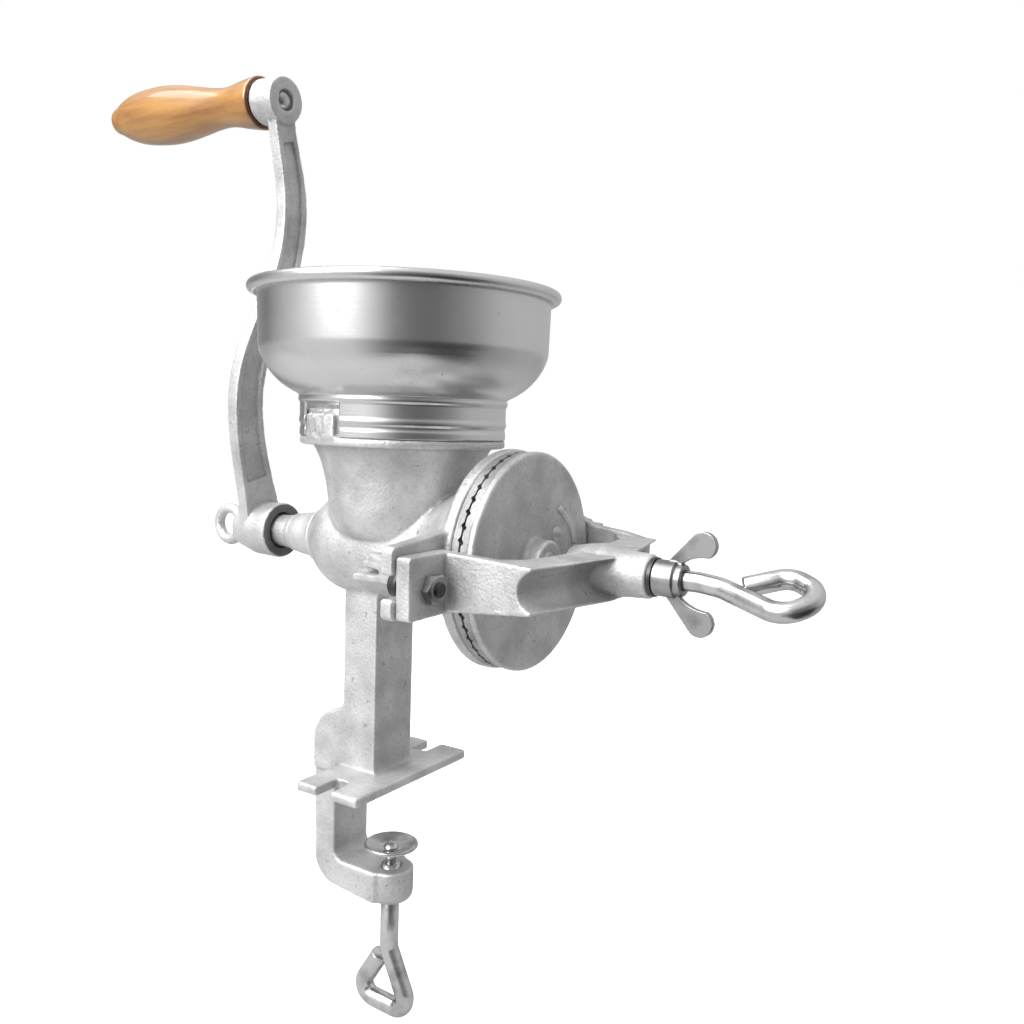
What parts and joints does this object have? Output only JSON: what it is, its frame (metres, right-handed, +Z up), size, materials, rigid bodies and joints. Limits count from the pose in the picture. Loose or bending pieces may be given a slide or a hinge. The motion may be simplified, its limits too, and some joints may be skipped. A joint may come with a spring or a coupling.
{
  "type": "hand crank grain mill",
  "caption": "Hand-cranked cast-iron mill that clamps to a table edge, with a round sheet hopper, grinding discs behind a bolted yoke, an adjusting screw and a wooden crank handle.",
  "frame": {"origin": "on the underside of the table plate, below the crossing of the shaft's axis and the hopper's axis", "axes": "+X along the shaft from the crank to the grinding discs, +Z up along the hopper's axis, +Y to the left of someone looking from the crank to the discs"},
  "size_m": [0.4271, 0.166, 0.4909],
  "materials": {
    "tinned_casting": "hot-dip tinned, slightly rough",
    "burr_iron": "bare chilled iron",
    "tinned_sheet": "smooth satin tinned sheet",
    "bright_steel": "bright plated",
    "zinc_steel": "zinc plated",
    "varnished_wood": "clear gloss varnish"
  },
  "bodies": {
    "frame": {"body_casting": "tinned_casting", "fixed_burr": "burr_iron", "fixed_burr_screws": "zinc_steel", "yoke": "tinned_casting", "yoke_bolts": "zinc_steel", "yoke_washers": "zinc_steel", "yoke_nuts": "zinc_steel"},
    "hopper": {"hopper_bowl": "tinned_sheet"},
    "thrust": {"thrust_ball": "zinc_steel"},
    "crank": {"worm_shaft": "tinned_casting", "drive_pin": "zinc_steel", "moving_burr": "burr_iron", "carrier_disc": "tinned_casting", "burr_rivets": "zinc_steel", "crank_arm": "tinned_casting", "crank_thumb_screw": "bright_steel", "handle_bolt": "zinc_steel", "handle_washer": "zinc_steel", "handle_nut": "zinc_steel"},
    "grip": {"handle_grip": "varnished_wood"},
    "adjuster": {"adjusting_screw": "bright_steel"},
    "washer": {"lock_washer": "bright_steel"},
    "wing": {"wing_nut": "bright_steel"},
    "pad": {"clamp_pad": "bright_steel"},
    "clamp": {"clamp_screw": "bright_steel"}
  },
  "joints": [
    {"name": "hopper_lift", "type": "slide", "parent": "frame", "child": "hopper", "axis": [0, 0, 1], "range_m": [0, 0.03]},
    {"name": "grind_gap", "type": "slide", "parent": "frame", "child": "thrust", "axis": [1, 0, 0], "range_m": [-0.0008, 0.006]},
    {"name": "crank_turn", "type": "hinge", "parent": "thrust", "child": "crank", "pos_m": [0, 0, 0.1185], "axis": [1, 0, 0], "continuous": true},
    {"name": "grip_spin", "type": "hinge", "parent": "crank", "child": "grip", "pos_m": [-0.08401, 0, 0.34323], "axis": [0.9988, 0, -0.0489], "continuous": true},
    {"name": "adjust_turn", "type": "hinge", "parent": "thrust", "child": "adjuster", "pos_m": [0.15, 0, 0.1185], "axis": [1, 0, 0], "range_deg": [-185, 1365]},
    {"name": "wing_slide", "type": "slide", "parent": "frame", "child": "washer", "axis": [1, 0, 0], "range_m": [0, 0.006]},
    {"name": "wing_turn", "type": "hinge", "parent": "washer", "child": "wing", "pos_m": [0.145, 0, 0.1185], "axis": [1, 0, 0], "range_deg": [0, 1340]},
    {"name": "pad_lift", "type": "slide", "parent": "frame", "child": "pad", "axis": [0, 0, 1], "range_m": [-0.006, 0.025]},
    {"name": "clamp_turn", "type": "hinge", "parent": "pad", "child": "clamp", "pos_m": [-0.0022, 0, -0.09], "axis": [0, 0, 1], "range_deg": [-1350, 5660]}
  ],
  "couplings": [
    {"joint": "adjust_turn", "follows": "grind_gap", "rad_per_m": 3957.9},
    {"joint": "wing_slide", "follows": "wing_turn", "m_per_rad": 0.00025266},
    {"joint": "pad_lift", "follows": "clamp_turn", "m_per_rad": 0.00025266}
  ]
}
